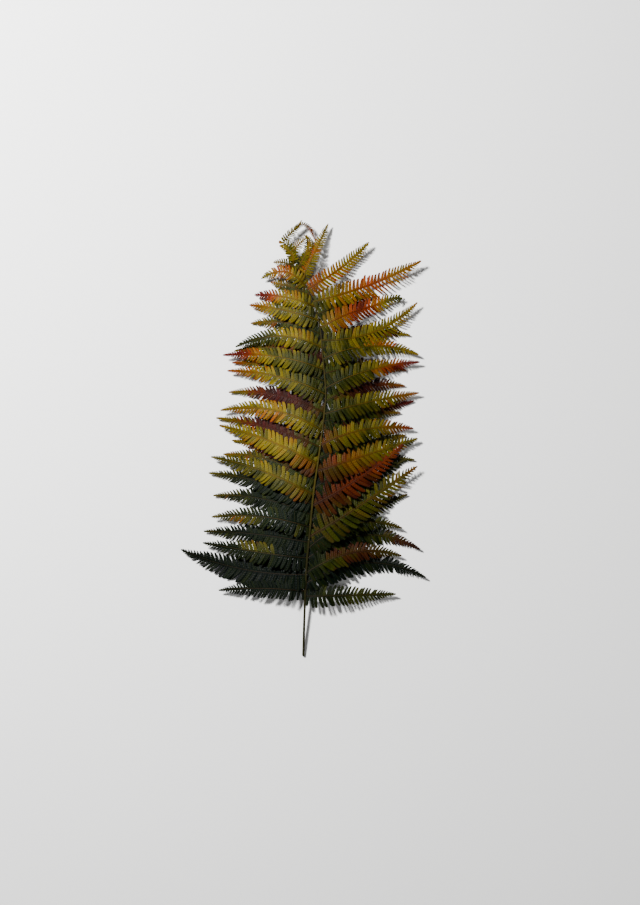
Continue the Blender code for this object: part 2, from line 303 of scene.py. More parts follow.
def give_thickness(blade):
    """Make a flat blade as thick as the leaf."""
    shell = blade.modifiers.new("Leaf thickness", "SOLIDIFY")
    shell.thickness = LEAF_THICKNESS
    shell.offset = 0.0
    shell.material_offset = 1
    bpy.ops.object.modifier_apply(modifier=shell.name)


deselect_all()
bpy.ops.mesh.primitive_grid_add(x_subdivisions=LOBE_COLUMNS, y_subdivisions=LOBE_ROWS, size=1.0)
lobe = bpy.context.active_object
lobe.name = "lobe"
bpy.ops.object.mode_set(mode="EDIT")
points = bmesh.from_edit_mesh(lobe.data)
select_points(points, lambda co: abs(co.x) > GRID_EDGE - NEAR)
bpy.ops.transform.translate(value=(0, 0, -MARGIN_ROLL))
select_points(points, lambda co: abs(co.x) < NEAR)
bpy.ops.transform.translate(value=(0, 0, -VEIN_SINK))
for row, (place, width) in enumerate(zip(ROW_PLACES, ROW_WIDTHS)):
    at = row / LOBE_ROWS - GRID_EDGE
    select_points(points, lambda co: abs(co.y - at) < NEAR)
    bpy.ops.transform.resize(value=(width, 1, 1), center_override=(0, at, 0))
    bpy.ops.transform.translate(value=(0, place - GRID_EDGE - at, 0))
bpy.ops.mesh.select_all(action="SELECT")
bpy.ops.transform.translate(value=(0, GRID_EDGE, 0))
bpy.ops.transform.resize(value=(LOBE_WIDTH, LOBE_LENGTH, 1), center_override=(0, 0, 0))
bpy.ops.object.mode_set(mode="OBJECT")
give_thickness(lobe)
print("one lobe:", len(lobe.data.polygons), "faces,", [round(v, 2) for v in lobe.dimensions], "mm")

# %% [markdown]
# One rib
#
# The rib of a leaflet is a thin round rod that gets thinner towards the tip. One rod of unit length is made
# from a cylinder, and is moved up to stand on its end. Its long edges are cut into short pieces, so that it
# can bend along any leaflet, and its far end is drawn together. It is copied once for each leaflet.

# %% Model the rib rod
ROD_SIDES = 8
ROD_CUTS = 28
ROD_BASE = 0.62       # radius at the midrib,
ROD_TIP = 0.24        # and at the leaflet's tip,
ROD_POINT = 0.2       # where the last ring is drawn together to this share
ROD_HALF = 0.5        # half the rod's unit length

deselect_all()
bpy.ops.mesh.primitive_cylinder_add(vertices=ROD_SIDES, radius=1.0, depth=1.0)
rod = bpy.context.active_object
rod.name = "rib_rod"
bpy.ops.object.mode_set(mode="EDIT")
bpy.ops.mesh.select_all(action="SELECT")
bpy.ops.transform.translate(value=(0, 0, ROD_HALF))
bpy.ops.mesh.select_all(action="DESELECT")
rod_mesh = bmesh.from_edit_mesh(rod.data)
for edge in rod_mesh.edges:
    edge.select = abs(edge.verts[0].co.z - edge.verts[1].co.z) > NEAR
bpy.ops.mesh.subdivide(number_cuts=ROD_CUTS)
rod_mesh = bmesh.from_edit_mesh(rod.data)
select_points(rod_mesh, lambda co: co.z > 1.0 - NEAR)
bpy.ops.transform.resize(value=(ROD_POINT, ROD_POINT, 1), center_override=(0, 0, 1))
bpy.ops.object.mode_set(mode="OBJECT")
print("one rib rod:", len(rod.data.polygons), "faces")

# %% [markdown]
# One web
#
# The lobes are not cut right down to the rib: a narrow web of leaf joins their feet, and near the tip it
# takes up more and more of the blade, so that the leaflet ends in a saw-toothed point. The web is a grid
# two cells wide, each cell of unit width, with its middle line sunk like the lobes' midvein. It gets its
# real width later.

# %% Model the web
WEB_ROWS = 28
WEB_SINK = 0.25

deselect_all()
bpy.ops.mesh.primitive_grid_add(x_subdivisions=2, y_subdivisions=WEB_ROWS, size=1.0)
web = bpy.context.active_object
web.name = "web"
bpy.ops.object.mode_set(mode="EDIT")
bpy.ops.mesh.select_all(action="SELECT")
bpy.ops.transform.resize(value=(1 / GRID_EDGE, 1, 1), center_override=(0, 0, 0))
bpy.ops.transform.translate(value=(0, GRID_EDGE, 0))
web_mesh = bmesh.from_edit_mesh(web.data)
select_points(web_mesh, lambda co: abs(co.x) < NEAR)
bpy.ops.transform.translate(value=(0, 0, -WEB_SINK))
bpy.ops.object.mode_set(mode="OBJECT")
give_thickness(web)
print("one web:", len(web.data.polygons), "faces")

# %% [markdown]
# From pattern to numpy
#
# To copy a shape thousands of times, its points, faces, UV places and material numbers are read once into
# numpy arrays. A copy is then only arithmetic on the points, and the faces are the same numbers plus the
# count of points so far.

# %% Read a pattern
Pattern = namedtuple("Pattern", "points corners counts uv material")


def read_pattern(item):
    data = item.data
    points = np.empty(len(data.vertices) * 3)
    data.vertices.foreach_get("co", points)
    corners = np.empty(len(data.loops), int)
    data.loops.foreach_get("vertex_index", corners)
    counts = np.array([len(face.vertices) for face in data.polygons])
    uv = np.zeros(len(data.loops) * 2)
    if data.uv_layers:
        data.uv_layers.active.data.foreach_get("uv", uv)
    material = np.array([face.material_index for face in data.polygons])
    return Pattern(points.reshape(-1, 3), corners, counts, uv.reshape(-1, 2), material)


PLAIN_UV = (0.25, 0.0)    # a place of the lobe's map that has no vein and no dot
RIB_SLOT = 2              # a leaflet's materials: face, underside, rib
lobe_pattern = read_pattern(lobe)
rod_pattern = read_pattern(rod)
rod_pattern.material[:] = RIB_SLOT
web_pattern = read_pattern(web)
web_pattern.uv[:] = PLAIN_UV
for item in (lobe, rod, web):
    bpy.data.objects.remove(item)
print("lobe:", len(lobe_pattern.points), "points; rod:", len(rod_pattern.points), "points")

# %% [markdown]
# Where the lobes sit
#
# Lobes stand in two rows along the rib. They are longest a little way out, and towards the tip they get
# shorter and stand closer, until the leaflet ends in a tail. The spacing follows the lobe's own length.
# The young leaflets at the top keep their lobes long further out than the others.

# %% Spacing of the lobes
BARE = 2.0                    # rib without lobes, at the midrib
TAIL = 7.0                    # and at the tip of a leaflet of usual size
USUAL_LOBE = 16.0             # which has longest lobes of this length
FIRST_LOBE = 0.78             # the first lobe's length, as a share of the longest,
LOBE_GROWTH = 2.2             # how fast the next ones get longer,
LOBE_LOSS = 0.95              # and what the last ones have lost of it
LOBE_TAPERS = (2.6, 3.8)      # how late they lose it, low and high on the frond,
YOUNG = (480.0, 570.0)        # changing between these heights
PITCH = 1.5                   # from one lobe to the next, in millimetres,
PITCH_GAIN = 0.28             # and this much more for each millimetre of the longest lobes
CLOSEST = 0.30                # the smallest share of that pitch, at the tip
CROWDING = 0.7


def lobe_length(leaflet, share):
    """How long the lobes are along a leaflet, as a share of its longest."""
    height = leaflet.path[0][1] if isinstance(leaflet, Curl) else leaflet.along
    taper = np.interp(height, YOUNG, LOBE_TAPERS)
    return min(1.0, FIRST_LOBE + LOBE_GROWTH * share) * (1.0 - LOBE_LOSS * share ** taper)


def small(leaflet):
    """1 for a leaflet of usual size, and less for the small ones at the top."""
    return min(leaflet.lobe / USUAL_LOBE, 1.0)


def lobe_places(leaflet, rib):
    """Middle of each lobe's base as a share of the rib, and how wide that base is, in millimetres."""
    full = PITCH + PITCH_GAIN * leaflet.lobe
    at, places = BARE, []
    while at < rib.length - TAIL * small(leaflet):
        pitch = full * (CLOSEST + (1.0 - CLOSEST) * lobe_length(leaflet, at / rib.length) ** CROWDING)
        places.append(((at + pitch / 2) / rib.length, pitch))
        at += pitch
    return places


print("pairs on the long right leaflet:", len(lobe_places(LONG_LEAFLET, long_rib)))

# %% [markdown]
# Setting one lobe on its rib
#
# A lobe's base stays on the rib, and the lobe leans towards the leaflet's tip. That is a shear: every point
# moves forward by its distance from the rib. The first lobes lean back instead, and so cover the corner at
# the midrib. On top of that each lobe curves forward, droops at its end and is turned a little about its
# own midvein, all by a slightly different amount, because no two lobes of a dried leaf lie alike. Nothing
# goes lower than the table.

# %% Place a lobe
# Angle between lobe and rib, in degrees, at shares of the rib's length.
LEANS = [(0.0, 108.0), (0.10, 88.0), (0.30, 74.0), (0.70, 64.0), (1.0, 50.0)]
LEAN_SPREAD = math.radians(3.5)
HOOK = 0.12                              # how far the end curves forward, as a share of the length
LENGTH_SPREAD = 0.05
DROOP = 0.10                             # how far it droops, in the same way
DROOP_SPREAD = 0.05
ROLL = math.radians(-4.0)
ROLL_SPREAD = math.radians(8.0)
ROLL_FULL = 0.25                         # the turn about the midvein is complete this far out
POINTED = ([13.0, 25.0], [0.24, 0.0])    # lobes of these lengths narrow by so much to their ends
ROOM_BELOW = 1.3                         # least height of a blade, before its margins and midvein go down
TAIL_WIDTH = 3.6                         # the last lobe, on a leaflet of usual size,
TAIL_LENGTH = 17.0
TAIL_RELIEF = 0.5                        # is flatter than the others
WEB = 0.12                               # half width of the web, as a share of the lobes beside it,
WEB_TAIL = 1.7                           # and this much more, in millimetres, where the leaflet ends
WEB_TAIL_START = 0.62
WEB_MOST = 0.8                           # but no more than this share of the lobes
WEB_SPARE = 0.6                          # and so many millimetres,
WEB_POINT = 0.08                         # and coming to a point over this share of the length
WEB_DEPTH = 0.12                         # how far the web lies under the lobes' feet


def lobe_points(rib, share, pitch, reach, sign, chance):
    """The lobe pattern's points, moved to one place on a rib, in millimetres."""
    out = lobe_pattern.points[:, 1] / LOBE_LENGTH
    across = lobe_pattern.points[:, 0] / LOBE_WIDTH * pitch * (1.0 - np.interp(reach, *POINTED) * out)
    lean = math.radians(smooth(LEANS, share)) + LEAN_SPREAD * chance.normal()
    reach = reach * (1.0 + LENGTH_SPREAD * chance.normal())
    droop = DROOP + DROOP_SPREAD * chance.normal()
    roll = ROLL + ROLL_SPREAD * chance.normal()
    ahead = reach * (out * math.cos(lean) + HOOK * out ** 2)
    aside = reach * out * math.sin(lean) * sign
    at = np.clip(share + across / rib.length, 0.0, 1.0)
    lift = across * math.tan(roll) * np.minimum(out / ROLL_FULL, 1.0) - droop * reach * out ** 2
    spots = read(rib, rib.spot, at) + read(rib, rib.along, at) * ahead[:, None]
    spots += read(rib, rib.sideways, at) * aside[:, None]
    spots[:, 2] = np.maximum(spots[:, 2] + lift, ROOM_BELOW)
    spots[:, 2] += lobe_pattern.points[:, 2] * min(1.0, pitch / LOBE_WIDTH)
    return spots


def tail_points(leaflet, rib):
    """The last narrow lobe, which carries on along the rib to the leaflet's tip."""
    before_tip = 1.0 - lobe_pattern.points[:, 1] / LOBE_LENGTH
    share = 1.0 - TAIL_LENGTH * small(leaflet) / rib.length * before_tip
    across = lobe_pattern.points[:, 0] / LOBE_WIDTH * TAIL_WIDTH * small(leaflet)
    spots = read(rib, rib.spot, share) + read(rib, rib.sideways, share) * across[:, None]
    spots[:, 2] = np.maximum(spots[:, 2], ROOM_BELOW) + lobe_pattern.points[:, 2] * TAIL_RELIEF
    return spots


def web_points(leaflet, rib):
    """The web, bent along the rib and as wide as the lobes beside it ask for."""
    share = np.clip(web_pattern.points[:, 1], 0.0, 1.0)
    length = np.array([leaflet.lobe * lobe_length(leaflet, at) for at in share])
    swell = np.clip((share - WEB_TAIL_START) / (1.0 - WEB_TAIL_START), 0.0, 1.0)
    half = WEB * length + WEB_TAIL * small(leaflet) * np.sqrt(swell)
    half = np.minimum(half, WEB_MOST * length + WEB_SPARE)
    half *= np.minimum((1.0 - share) / WEB_POINT, 1.0)
    across = web_pattern.points[:, 0] * half
    spots = read(rib, rib.spot, share) + read(rib, rib.sideways, share) * across[:, None]
    spots[:, 2] = np.maximum(spots[:, 2], ROOM_BELOW) + web_pattern.points[:, 2] - WEB_DEPTH
    return spots


def rod_points(rib):
    """The rib rod, bent along one rib."""
    share = rod_pattern.points[:, 2]
    radius = (ROD_BASE + (ROD_TIP - ROD_BASE) * share)[:, None]
    level = read(rib, rib.sideways, share)
    upward = np.array([0.0, 0.0, 1.0])
    ring = level * rod_pattern.points[:, :1] + upward * rod_pattern.points[:, 1:2]
    return read(rib, rib.spot, share) + ring * radius


# %% [markdown]
# Pigments
#
# A preserved frond is dyed and then fades from the edges in. Its colours are one series: bottle green,
# olive, yellow, ochre, rust, brick red, crimson. A node group holds that series as a colour ramp, so that
# one number, the turn, gives the colour. The face of the leaf, its underside and the ribs all use it, each
# with its own values.

# %% Helpers for node trees
def feed(tree, node, inputs):
    """Give each input of a node a number, a colour or another node's output."""
    for key, value in inputs.items():
        if isinstance(value, bpy.types.NodeSocket):
            tree.links.new(value, node.inputs[key])
        else:
            node.inputs[key].default_value = value


def put(tree, kind, inputs=None, **settings):
    """Add a node, set it up and feed its inputs."""
    made = tree.nodes.new(kind)
    for name, value in settings.items():
        setattr(made, name, value)
    feed(tree, made, inputs or {})
    return made


def sums(tree, operation, first, second=0.0, clamp=False):
    return put(tree, "ShaderNodeMath", {0: first, 1: second}, operation=operation, use_clamp=clamp).outputs[0]


def mixed(tree, share, first, second, blend="MIX"):
    node = put(tree, "ShaderNodeMix", {0: share, 6: first, 7: second}, data_type="RGBA", blend_type=blend)
    return node.outputs[2]


def new_group(name, inputs, outputs):
    """An empty node group with named sockets, and its two end nodes."""
    tree = bpy.data.node_groups.new(name, "ShaderNodeTree")
    for in_out, sockets in (("INPUT", inputs), ("OUTPUT", outputs)):
        for label, kind in sockets:
            tree.interface.new_socket(name=label, in_out=in_out, socket_type="NodeSocket" + kind)
    return tree, tree.nodes.new("NodeGroupInput").outputs, tree.nodes.new("NodeGroupOutput").inputs


def use_group(tree, group, inputs):
    node = tree.nodes.new("ShaderNodeGroup")
    node.node_tree = group
    feed(tree, node, inputs)
    return node.outputs


def reading(tree, name):
    """The value of a mesh attribute."""
    return put(tree, "ShaderNodeAttribute", attribute_name=name).outputs["Fac"]


def fade(tree, value, limits):
    """1 below the first limit, falling smoothly to 0 at the second."""
    return put(tree, "ShaderNodeMapRange", {"Value": value, "From Min": limits[0], "From Max": limits[1],
                                            "To Min": 1.0, "To Max": 0.0},
               interpolation_type="SMOOTHSTEP").outputs[0]


# %% The pigment group
PIGMENTS = [
    (0.00, (0.0008, 0.0075, 0.0036)),  # bottle green
    (0.20, (0.0045, 0.0140, 0.0012)),  # dark olive
    (0.38, (0.0270, 0.0290, 0.0003)),  # olive
    (0.50, (0.1180, 0.0900, 0.0006)),  # yellow
    (0.60, (0.1450, 0.0580, 0.0006)),  # ochre
    (0.72, (0.1700, 0.0220, 0.0004)),  # rust
    (0.85, (0.0700, 0.0055, 0.0010)),  # brick red
    (1.00, (0.0800, 0.0010, 0.0010)),  # crimson
]
BLOTCH_DETAIL = 3.0

pigments, given, gives = new_group(
    "autumn pigments", [("Turn", "Float"), ("Blotch size", "Float"), ("Blotches", "Float")],
    [("Color", "Color"), ("Mottle", "Float")])
where = put(pigments, "ShaderNodeTexCoord").outputs["Object"]
broad = put(pigments, "ShaderNodeTexNoise",
            {"Vector": where, "Scale": given["Blotch size"], "Detail": BLOTCH_DETAIL})
swing = sums(pigments, "MULTIPLY", sums(pigments, "SUBTRACT", broad.outputs[0], 0.5), given["Blotches"])
turned = sums(pigments, "ADD", given["Turn"], swing, clamp=True)
ramp = put(pigments, "ShaderNodeValToRGB", {"Fac": turned})
while len(ramp.color_ramp.elements) > 1:
    ramp.color_ramp.elements.remove(ramp.color_ramp.elements[-1])
for number, (place, colour) in enumerate(PIGMENTS):
    stop = ramp.color_ramp.elements[0] if number == 0 else ramp.color_ramp.elements.new(place)
    stop.position = place
    stop.color = (*colour, 1.0)
pigments.links.new(ramp.outputs["Color"], gives["Color"])
pigments.links.new(broad.outputs[0], gives["Mottle"])
print("pigment steps:", len(ramp.color_ramp.elements))

# %% [markdown]
# Veins and dots of a lobe
#
# Each lobe keeps the UV map of the grid that it came from: U runs across it and V from its base to its tip.
# On that map the midvein is the line U = 0.5, the side veins are slanted stripes, and the spore dots stand
# in a row on each side half way to the margin. The group gives one mask for each, one for the margin, and
# the height for the bump. Both faces of the leaf use it.

# %% The lobe pattern group
MIDVEIN_EDGE = (0.03, 0.16)      # where the midvein's mask fades out, from the middle (0) to the margin (1)
SIDE_VEINS = 9.0                 # on each side of a lobe
SIDE_VEIN_EDGE = (0.0, 0.45)
VEIN_SLANT = 0.22
DOTS = 11.0                      # in a row
DOT_LINE = 0.46                  # where the row is, between the middle and the margin
DOT_SIZE = 0.36
DOT_EDGE = (0.35, 0.85)
MARGIN_EDGE = (0.76, 1.0)
SIDE_VEIN_DEPTH = 0.35           # veins are sunk and dots are raised, as shares of the bump
MIDVEIN_DEPTH = 0.8
DOT_HEIGHT = 0.6

veins, given, gives = new_group(
    "lobe pattern", [("UV", "Vector")],
    [(label, "Float") for label in ("Midvein", "Side veins", "Dots", "Margin", "Height")])
split = put(veins, "ShaderNodeSeparateXYZ", {0: given["UV"]}).outputs
off_middle = sums(veins, "MULTIPLY", sums(veins, "ABSOLUTE", sums(veins, "SUBTRACT", split[0], 0.5)), 2.0)
midvein = fade(veins, off_middle, MIDVEIN_EDGE)
slanted = sums(veins, "SUBTRACT", split[1], sums(veins, "MULTIPLY", off_middle, VEIN_SLANT))
stripe = sums(veins, "PINGPONG", sums(veins, "MULTIPLY", slanted, SIDE_VEINS * 2), 1.0)
side_veins = fade(veins, stripe, SIDE_VEIN_EDGE)
dot_v = sums(veins, "PINGPONG", sums(veins, "MULTIPLY", split[1], DOTS * 2), 1.0)
dot_u = sums(veins, "MULTIPLY", sums(veins, "SUBTRACT", off_middle, DOT_LINE), 1.0 / DOT_SIZE)
dot_far = sums(veins, "SQRT", sums(veins, "ADD", sums(veins, "MULTIPLY", dot_u, dot_u),
                                  sums(veins, "MULTIPLY", dot_v, dot_v)))
dots = fade(veins, dot_far, DOT_EDGE)
margin = sums(veins, "SUBTRACT", 1.0, fade(veins, off_middle, MARGIN_EDGE))
height = sums(veins, "MULTIPLY", side_veins, -SIDE_VEIN_DEPTH)
height = sums(veins, "SUBTRACT", height, sums(veins, "MULTIPLY", midvein, MIDVEIN_DEPTH))
height = sums(veins, "ADD", height, sums(veins, "MULTIPLY", dots, DOT_HEIGHT))
for label, value in (("Midvein", midvein), ("Side veins", side_veins), ("Dots", dots), ("Margin", margin),
                     ("Height", height)):
    veins.links.new(value, gives[label])
print("lobe pattern nodes:", len(veins.nodes))

# %% [markdown]
# The face of the leaf
#
# The upper face is leathery and satin. Its colour is the leaflet's turn, read from an attribute, moved by
# the blotches and redder towards the margins and, by a second attribute, the flush, towards lobe ends.
# Dots darken it, the margins get painted shade and the midvein is browner. A third attribute, the depth,
# darkens the foot of the frond, partly as darker dye and partly as painted shade, holds painted shade on its
# right side, near the midrib and on the leaflets that lie under others, and a random darker tone per lobe.
# The underside is paler and rougher.

# %% Leaf face material
LEAF_BLOTCHES = {"Blotch size": 55.0, "Blotches": 0.26}
MARGIN_TURN = 0.03
DOT_TINT = (0.35, 0.25, 0.18, 1.0)
DOT_DARK = 0.75
VEIN_COLOUR = (0.10, 0.05, 0.004, 1.0)
# Painted shade along the lobes' margins:
MARGIN_SHADE_TINT = (0.30, 0.22, 0.18, 1.0)
MARGIN_SHADE = 0.65
# Painted shade and a random darker tone: the colour that the depth attribute multiplies in.
PAINTED_SHADE_AND_TONE_TINT = (0.15, 0.25, 0.22, 1.0)
PALE_COLOUR = (0.22, 0.17, 0.10, 1.0)
FACE_ROUGHNESS = (0.40, 0.58)
UNDER_ROUGHNESS = (0.55, 0.75)
MOTTLE_SPAN = (0.3, 0.7)         # the noise values that give the first and the second roughness
LEAF_GLOSS = 0.06
LEAF_GRAIN = {"Scale": 900.0, "Detail": 2.0}
GRAIN_HEIGHT = 0.5
LEAF_BUMP = 0.0004
LEAF_BUMP_STRENGTH = 0.8


def leaf_material(name, vein_share, paleness, roughness):
    material = bpy.data.materials.new(name)
    material.use_nodes = True
    tree = material.node_tree
    shader = tree.nodes["Principled BSDF"]
    uv = put(tree, "ShaderNodeUVMap", uv_map="lobe").outputs["UV"]
    pattern = use_group(tree, veins, {"UV": uv})
    out = put(tree, "ShaderNodeSeparateXYZ", {0: uv}).outputs[1]
    flush = sums(tree, "MULTIPLY", reading(tree, "flush"), sums(tree, "MULTIPLY", out, out))
    flush = sums(tree, "ADD", flush, sums(tree, "MULTIPLY", pattern["Margin"], MARGIN_TURN))
    turn = sums(tree, "ADD", reading(tree, "turn"), flush)
    colour = use_group(tree, pigments, {"Turn": turn, **LEAF_BLOTCHES})
    dots = sums(tree, "MULTIPLY", pattern["Dots"], DOT_DARK)
    tint = mixed(tree, dots, colour["Color"], DOT_TINT, "MULTIPLY")
    tint = mixed(tree, sums(tree, "MULTIPLY", pattern["Midvein"], vein_share), tint, VEIN_COLOUR)
    # painted shade along the margins of each lobe
    tint = mixed(tree, sums(tree, "MULTIPLY", pattern["Margin"], MARGIN_SHADE), tint, MARGIN_SHADE_TINT, "MULTIPLY")
    # painted shade from the depth attribute, with the foot's darker dye and each lobe's random darker tone
    tint = mixed(tree, reading(tree, "depth"), tint, PAINTED_SHADE_AND_TONE_TINT, "MULTIPLY")
    tint = mixed(tree, paleness, tint, PALE_COLOUR)
    place = put(tree, "ShaderNodeTexCoord").outputs["Object"]
    fine = put(tree, "ShaderNodeTexNoise", {"Vector": place, **LEAF_GRAIN}).outputs[0]
    satin = put(tree, "ShaderNodeMapRange", {
        "Value": colour["Mottle"], "From Min": MOTTLE_SPAN[0], "From Max": MOTTLE_SPAN[1],
        "To Min": roughness[0], "To Max": roughness[1]}).outputs[0]
    relief = sums(tree, "ADD", pattern["Height"], sums(tree, "MULTIPLY", fine, GRAIN_HEIGHT))
    bumped = put(tree, "ShaderNodeBump",
                 {"Height": relief, "Distance": LEAF_BUMP, "Strength": LEAF_BUMP_STRENGTH}).outputs["Normal"]
    feed(tree, shader, {"Base Color": tint, "Roughness": satin, "Specular IOR Level": LEAF_GLOSS,
                        "Normal": bumped})
    return material


leaf_face = leaf_material("leaf face", vein_share=0.35, paleness=0.0, roughness=FACE_ROUGHNESS)
leaf_under = leaf_material("leaf underside", vein_share=0.40, paleness=0.35, roughness=UNDER_ROUGHNESS)
print("leaf materials:", leaf_face.name, "and", leaf_under.name)

# %% [markdown]
# Ribs and stalk
#
# Ribs are woody and smooth, straw to rust in colour, with a fine grain, which on the stalk runs lengthwise.
# The leaflets' ribs are redder than the blade beside them, so they use the same pigments with a higher
# turn. Both have some straw colour mixed in.

# %% Rib and stalk materials
WOOD_BLOTCHES = {"Blotch size": 35.0, "Blotches": 0.25}
RIB_STRAW = (0.060, 0.022, 0.002, 1.0)
STALK_STRAW = (0.031, 0.019, 0.0015, 1.0)
RIB_STRETCH = (500, 500, 500)    # how fine the grain is, across, along and up
STALK_STRETCH = (900, 40, 900)
WOOD_GRAIN = {"Scale": 1.0, "Detail": 4.0}
GRAIN_TINT = (0.45, 0.38, 0.30, 1.0)
GRAIN_DARK = 0.7
# Painted shade on the leaflets' ribs, and the darkening of the stalk and midrib, multiply in this colour:
WOOD_SHADE_AND_TONE_TINT = (0.25, 0.30, 0.25, 1.0)
WOOD_ROUGHNESS = 0.62
WOOD_GLOSS = 0.1
WOOD_BUMP = 0.0004
WOOD_BUMP_STRENGTH = 0.6


def woody_material(name, turn, straw, straw_share, stretch):
    material = bpy.data.materials.new(name)
    material.use_nodes = True
    tree = material.node_tree
    shader = tree.nodes["Principled BSDF"]
    place = put(tree, "ShaderNodeTexCoord").outputs["Object"]
    redder = sums(tree, "ADD", reading(tree, "turn"), turn)
    colour = use_group(tree, pigments, {"Turn": redder, **WOOD_BLOTCHES})
    stretched = put(tree, "ShaderNodeMapping", {"Vector": place, "Scale": stretch}).outputs[0]
    grain = put(tree, "ShaderNodeTexNoise", {"Vector": stretched, **WOOD_GRAIN}).outputs[0]
    tint = mixed(tree, straw_share, colour["Color"], straw)
    tint = mixed(tree, sums(tree, "MULTIPLY", grain, GRAIN_DARK), tint, GRAIN_TINT, "MULTIPLY")
    # the depth attribute: painted shade on the leaflets' ribs, and on the stalk and midrib a darkening that
    # is heaviest at the foot
    tint = mixed(tree, reading(tree, "depth"), tint, WOOD_SHADE_AND_TONE_TINT, "MULTIPLY")
    bumped = put(tree, "ShaderNodeBump",
                 {"Height": grain, "Distance": WOOD_BUMP, "Strength": WOOD_BUMP_STRENGTH}).outputs["Normal"]
    feed(tree, shader, {"Base Color": tint, "Roughness": WOOD_ROUGHNESS, "Specular IOR Level": WOOD_GLOSS,
                        "Normal": bumped})
    return material


rib_material = woody_material("leaflet rib", turn=0.10, straw=RIB_STRAW, straw_share=0.60,
                              stretch=RIB_STRETCH)
stalk_material = woody_material("stalk and midrib", turn=0.0, straw=STALK_STRAW, straw_share=0.48,
                                stretch=STALK_STRETCH)
print("woody materials:", rib_material.name, "and", stalk_material.name)

# %% [markdown]
# Building a leaflet
#
# Now the patterns are copied. Every leaflet becomes one mesh: its rib rod, its web, two rows of lobes, and
# one last narrow lobe that points straight ahead and makes the drawn-out tail. Each lobe also gets its own
# small step of turn and of depth, so that neighbours differ as they do on the real leaf.

# %% Join copies into one mesh
RIM_ANGLE = math.radians(40.0)
Copy = namedtuple("Copy", "pattern spots attributes")


def give_attribute(data, label, values):
    layer = data.attributes.new(label, "FLOAT", "POINT")
    layer.data.foreach_set("value", values)


def mesh_from(name, copies):
    """One mesh from many copies of patterns."""
    points = np.vstack([copy.spots for copy in copies])
    firsts = np.cumsum([0] + [len(copy.spots) for copy in copies])[:-1]
    corners = np.concatenate([copy.pattern.corners + first for copy, first in zip(copies, firsts)])
    counts = np.concatenate([copy.pattern.counts for copy in copies])
    materials = np.concatenate([copy.pattern.material for copy in copies])
    data = bpy.data.meshes.new(name)
    data.vertices.add(len(points))
    data.vertices.foreach_set("co", ((points - CENTRE) * MM).ravel())
    data.loops.add(len(corners))
    data.loops.foreach_set("vertex_index", corners)
    data.polygons.add(len(counts))
    data.polygons.foreach_set("loop_start", np.cumsum(counts) - counts)
    data.polygons.foreach_set("material_index", materials)
    data.update(calc_edges=True)
    uv = data.uv_layers.new(name="lobe")
    uv.data.foreach_set("uv", np.vstack([copy.pattern.uv for copy in copies]).ravel())
    for label in copies[0].attributes:
        give_attribute(data, label, np.concatenate([copy.attributes[label] for copy in copies]))
    data.shade_smooth()
    data.set_sharp_from_angle(angle=RIM_ANGLE)
    return data


# %% Colours along a leaflet
TURN_PLACES = [0.0, 0.5, 0.92]
TURN_SPREAD = 0.035            # how much the turn differs between lobes, in the upper leaflets
UNDER_SPREAD = 0.09            # and in the lower ones
FLUSH, FLUSH_SPREAD = 0.06, 0.08
TAIL_TURN, TAIL_FLUSH = 0.05, 0.1
# Painted shade, gathered in the depth attribute: the foot is darker, partly as darker dye and partly as
# painted
# shade, and the right side, the covered part of lower leaflets and the part near the midrib get painted
# shade.
FOOT = (150.0, 330.0)          # the dark of the frond's foot fades out between these heights,
FOOT_SHADE = 0.80
RIGHT_SIDE = (380.0, 560.0)    # and the dark of its right side between these
RIGHT_SHADE = 0.38
FREE = (0.55, 0.90)            # a lower leaflet is dark up to the part that lies free
UNDER_SHADE = 0.76
FREE_SHADE = 0.20
INNER = 0.35                   # every leaflet is darker over this share of it, near the midrib
INNER_SHADE = 0.50
LOBE_SHADE = 0.20              # how much the depth differs between lobes


def colours_at(leaflet, side, share, along, extra=0.0, flush=0.0, shade=0.0):
    """Attribute values for points at these shares of a leaflet."""
    turn = np.interp(share, TURN_PLACES, leaflet.turn) + extra
    # painted shade and the foot's darker dye, added up as the depth
    side_shade = np.interp(along, RIGHT_SIDE, [RIGHT_SHADE, 0.0]) if side > 0 else 0.0
    depth = np.interp(along, FOOT, [FOOT_SHADE, 0.0]) + side_shade
    depth += np.interp(share, FREE, [UNDER_SHADE, FREE_SHADE]) * max(1.0 - leaflet.over, 0.0)
    inner_shade = INNER_SHADE * np.clip(1.0 - share / INNER, 0.0, 1.0)
    depth = np.clip(depth + shade + inner_shade, 0.0, 1.0)
    return {"turn": turn, "depth": depth, "flush": np.full(len(turn), flush)}


# %% Grow a leaflet
ROW_OFFSET = 0.25              # the upper row stands this share of a lobe further out
LAST_PLACE = 0.985             # and no lobe stands further out than this
SHORT_ROW, LONG_ROW = 1.02, 1.12
NARROWING = 1.3                # a stretched lobe gets narrower by this times its stretch
# A lobe's width, as a share of its place on the rib, by the layer of its leaflet. The lower leaflets have
# wide lobes that cover what lies below them, and only their free ends have gaps between the lobes.
LAYERS = [0.0, 0.4, 1.0, 1.2]
LAYER_WIDTHS = [1.22, 0.90, 0.98, 0.84]
FREE_LOBES = (0.40, 0.65)
FREE_WIDTH = 0.88


def special(table, leaflet, side, sign, share):
    """What a table of differing lobes gives one lobe, or 0."""
    along = getattr(leaflet, "along", None)
    return sum(step for row_side, row, row_sign, start, end, step in table
               if (row_side, row, row_sign) == (side, along, sign) and start <= share <= end)


